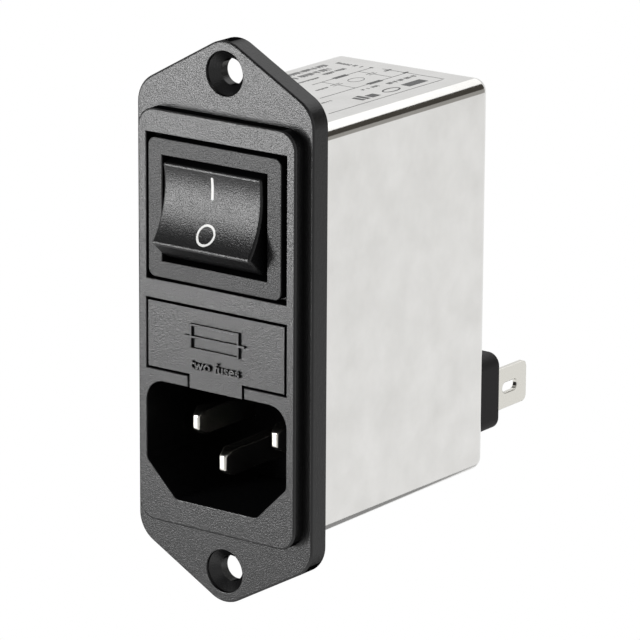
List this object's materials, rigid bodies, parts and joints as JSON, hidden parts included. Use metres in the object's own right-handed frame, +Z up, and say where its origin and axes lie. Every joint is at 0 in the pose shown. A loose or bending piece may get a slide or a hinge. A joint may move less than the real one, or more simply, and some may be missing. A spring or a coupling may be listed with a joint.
{
  "type": "power entry module",
  "caption": "Panel-mount power entry module with an appliance inlet, a pull-out fuse drawer and a rocker switch on a black flanged front, and a line filter in a metal can behind.",
  "frame": {"origin": "midway between the two mounting holes, on the flange face that meets the panel", "axes": "+X right seen from the front, +Y into the panel, +Z up; the front faces -Y"},
  "size_m": [0.0308, 0.0654, 0.0812],
  "materials": {
    "black_moulding": "fine matt grain",
    "switch_plastic": "satin",
    "rocker_plastic": "satin",
    "terminal_plastic": "matt",
    "tinned_steel": "bright drawn sheet",
    "nickel_plate": "plated",
    "contact_brass": "bare",
    "spring_steel": "bright",
    "plunger_plastic": "plain",
    "fuse_glass": "clear",
    "board_laminate": "solder mask",
    "ferrite": "coated",
    "copper_wire": "enamelled",
    "divider_card": "plain",
    "film_box": "smooth",
    "disc_coating": "dipped",
    "resistor_coating": "dipped",
    "earth_insulation": "smooth"
  },
  "bodies": {
    "module": {"front_moulding": "black_moulding", "line_pin": "nickel_plate", "neutral_pin": "nickel_plate", "earth_pin": "nickel_plate", "switch_frame": "switch_plastic", "line_pivot_terminal": "contact_brass", "neutral_pivot_terminal": "contact_brass", "line_fixed_terminal": "contact_brass", "neutral_fixed_terminal": "contact_brass", "line_front_leaf": "contact_brass", "line_rear_leaf": "contact_brass", "neutral_front_leaf": "contact_brass", "neutral_rear_leaf": "contact_brass", "circuit_board": "board_laminate", "choke_core": "ferrite", "line_winding": "copper_wire", "neutral_winding": "copper_wire", "choke_divider": "divider_card", "x_capacitor": "film_box", "x_capacitor_leads": "spring_steel", "line_y_capacitor": "disc_coating", "neutral_y_capacitor": "disc_coating", "y_capacitor_leads": "spring_steel", "bleed_resistor": "resistor_coating", "resistor_leads": "spring_steel", "filter_can": "tinned_steel", "terminal_block": "terminal_plastic", "line_blade": "nickel_plate", "neutral_blade": "nickel_plate", "earth_blade": "nickel_plate", "earth_rivet": "nickel_plate", "earth_lug": "nickel_plate", "earth_wire": "earth_insulation"},
    "rocker": {"rocker": "rocker_plastic", "line_plunger": "plunger_plastic", "neutral_plunger": "plunger_plastic", "plunger_springs": "spring_steel"},
    "line_lever": {"line_lever": "contact_brass"},
    "neutral_lever": {"neutral_lever": "contact_brass"},
    "fuse_drawer": {"fuse_drawer": "black_moulding", "line_fuse_tube": "fuse_glass", "neutral_fuse_tube": "fuse_glass", "line_fuse_caps": "nickel_plate", "neutral_fuse_caps": "nickel_plate", "line_fuse_wire": "spring_steel", "neutral_fuse_wire": "spring_steel"}
  },
  "joints": [
    {"name": "rocker_tilt", "type": "hinge", "parent": "module", "child": "rocker", "pos_m": [0, -0.00225, 0.01602], "axis": [1, 0, 0], "range_deg": [0, 27.6]},
    {"name": "line_lever_tilt", "type": "hinge", "parent": "module", "child": "line_lever", "pos_m": [0, 0.00471, 0.01602], "axis": [1, 0, 0], "range_deg": [-18, 0]},
    {"name": "neutral_lever_tilt", "type": "hinge", "parent": "module", "child": "neutral_lever", "pos_m": [0, 0.00471, 0.01602], "axis": [1, 0, 0], "range_deg": [-18, 0]},
    {"name": "drawer_slide", "type": "slide", "parent": "module", "child": "fuse_drawer", "axis": [0, -1, 0], "range_m": [0, 0.021]}
  ],
  "couplings": [
    {"joint": "line_lever_tilt", "follows": "rocker_tilt", "ratio": -0.652},
    {"joint": "neutral_lever_tilt", "follows": "rocker_tilt", "ratio": -0.652}
  ]
}
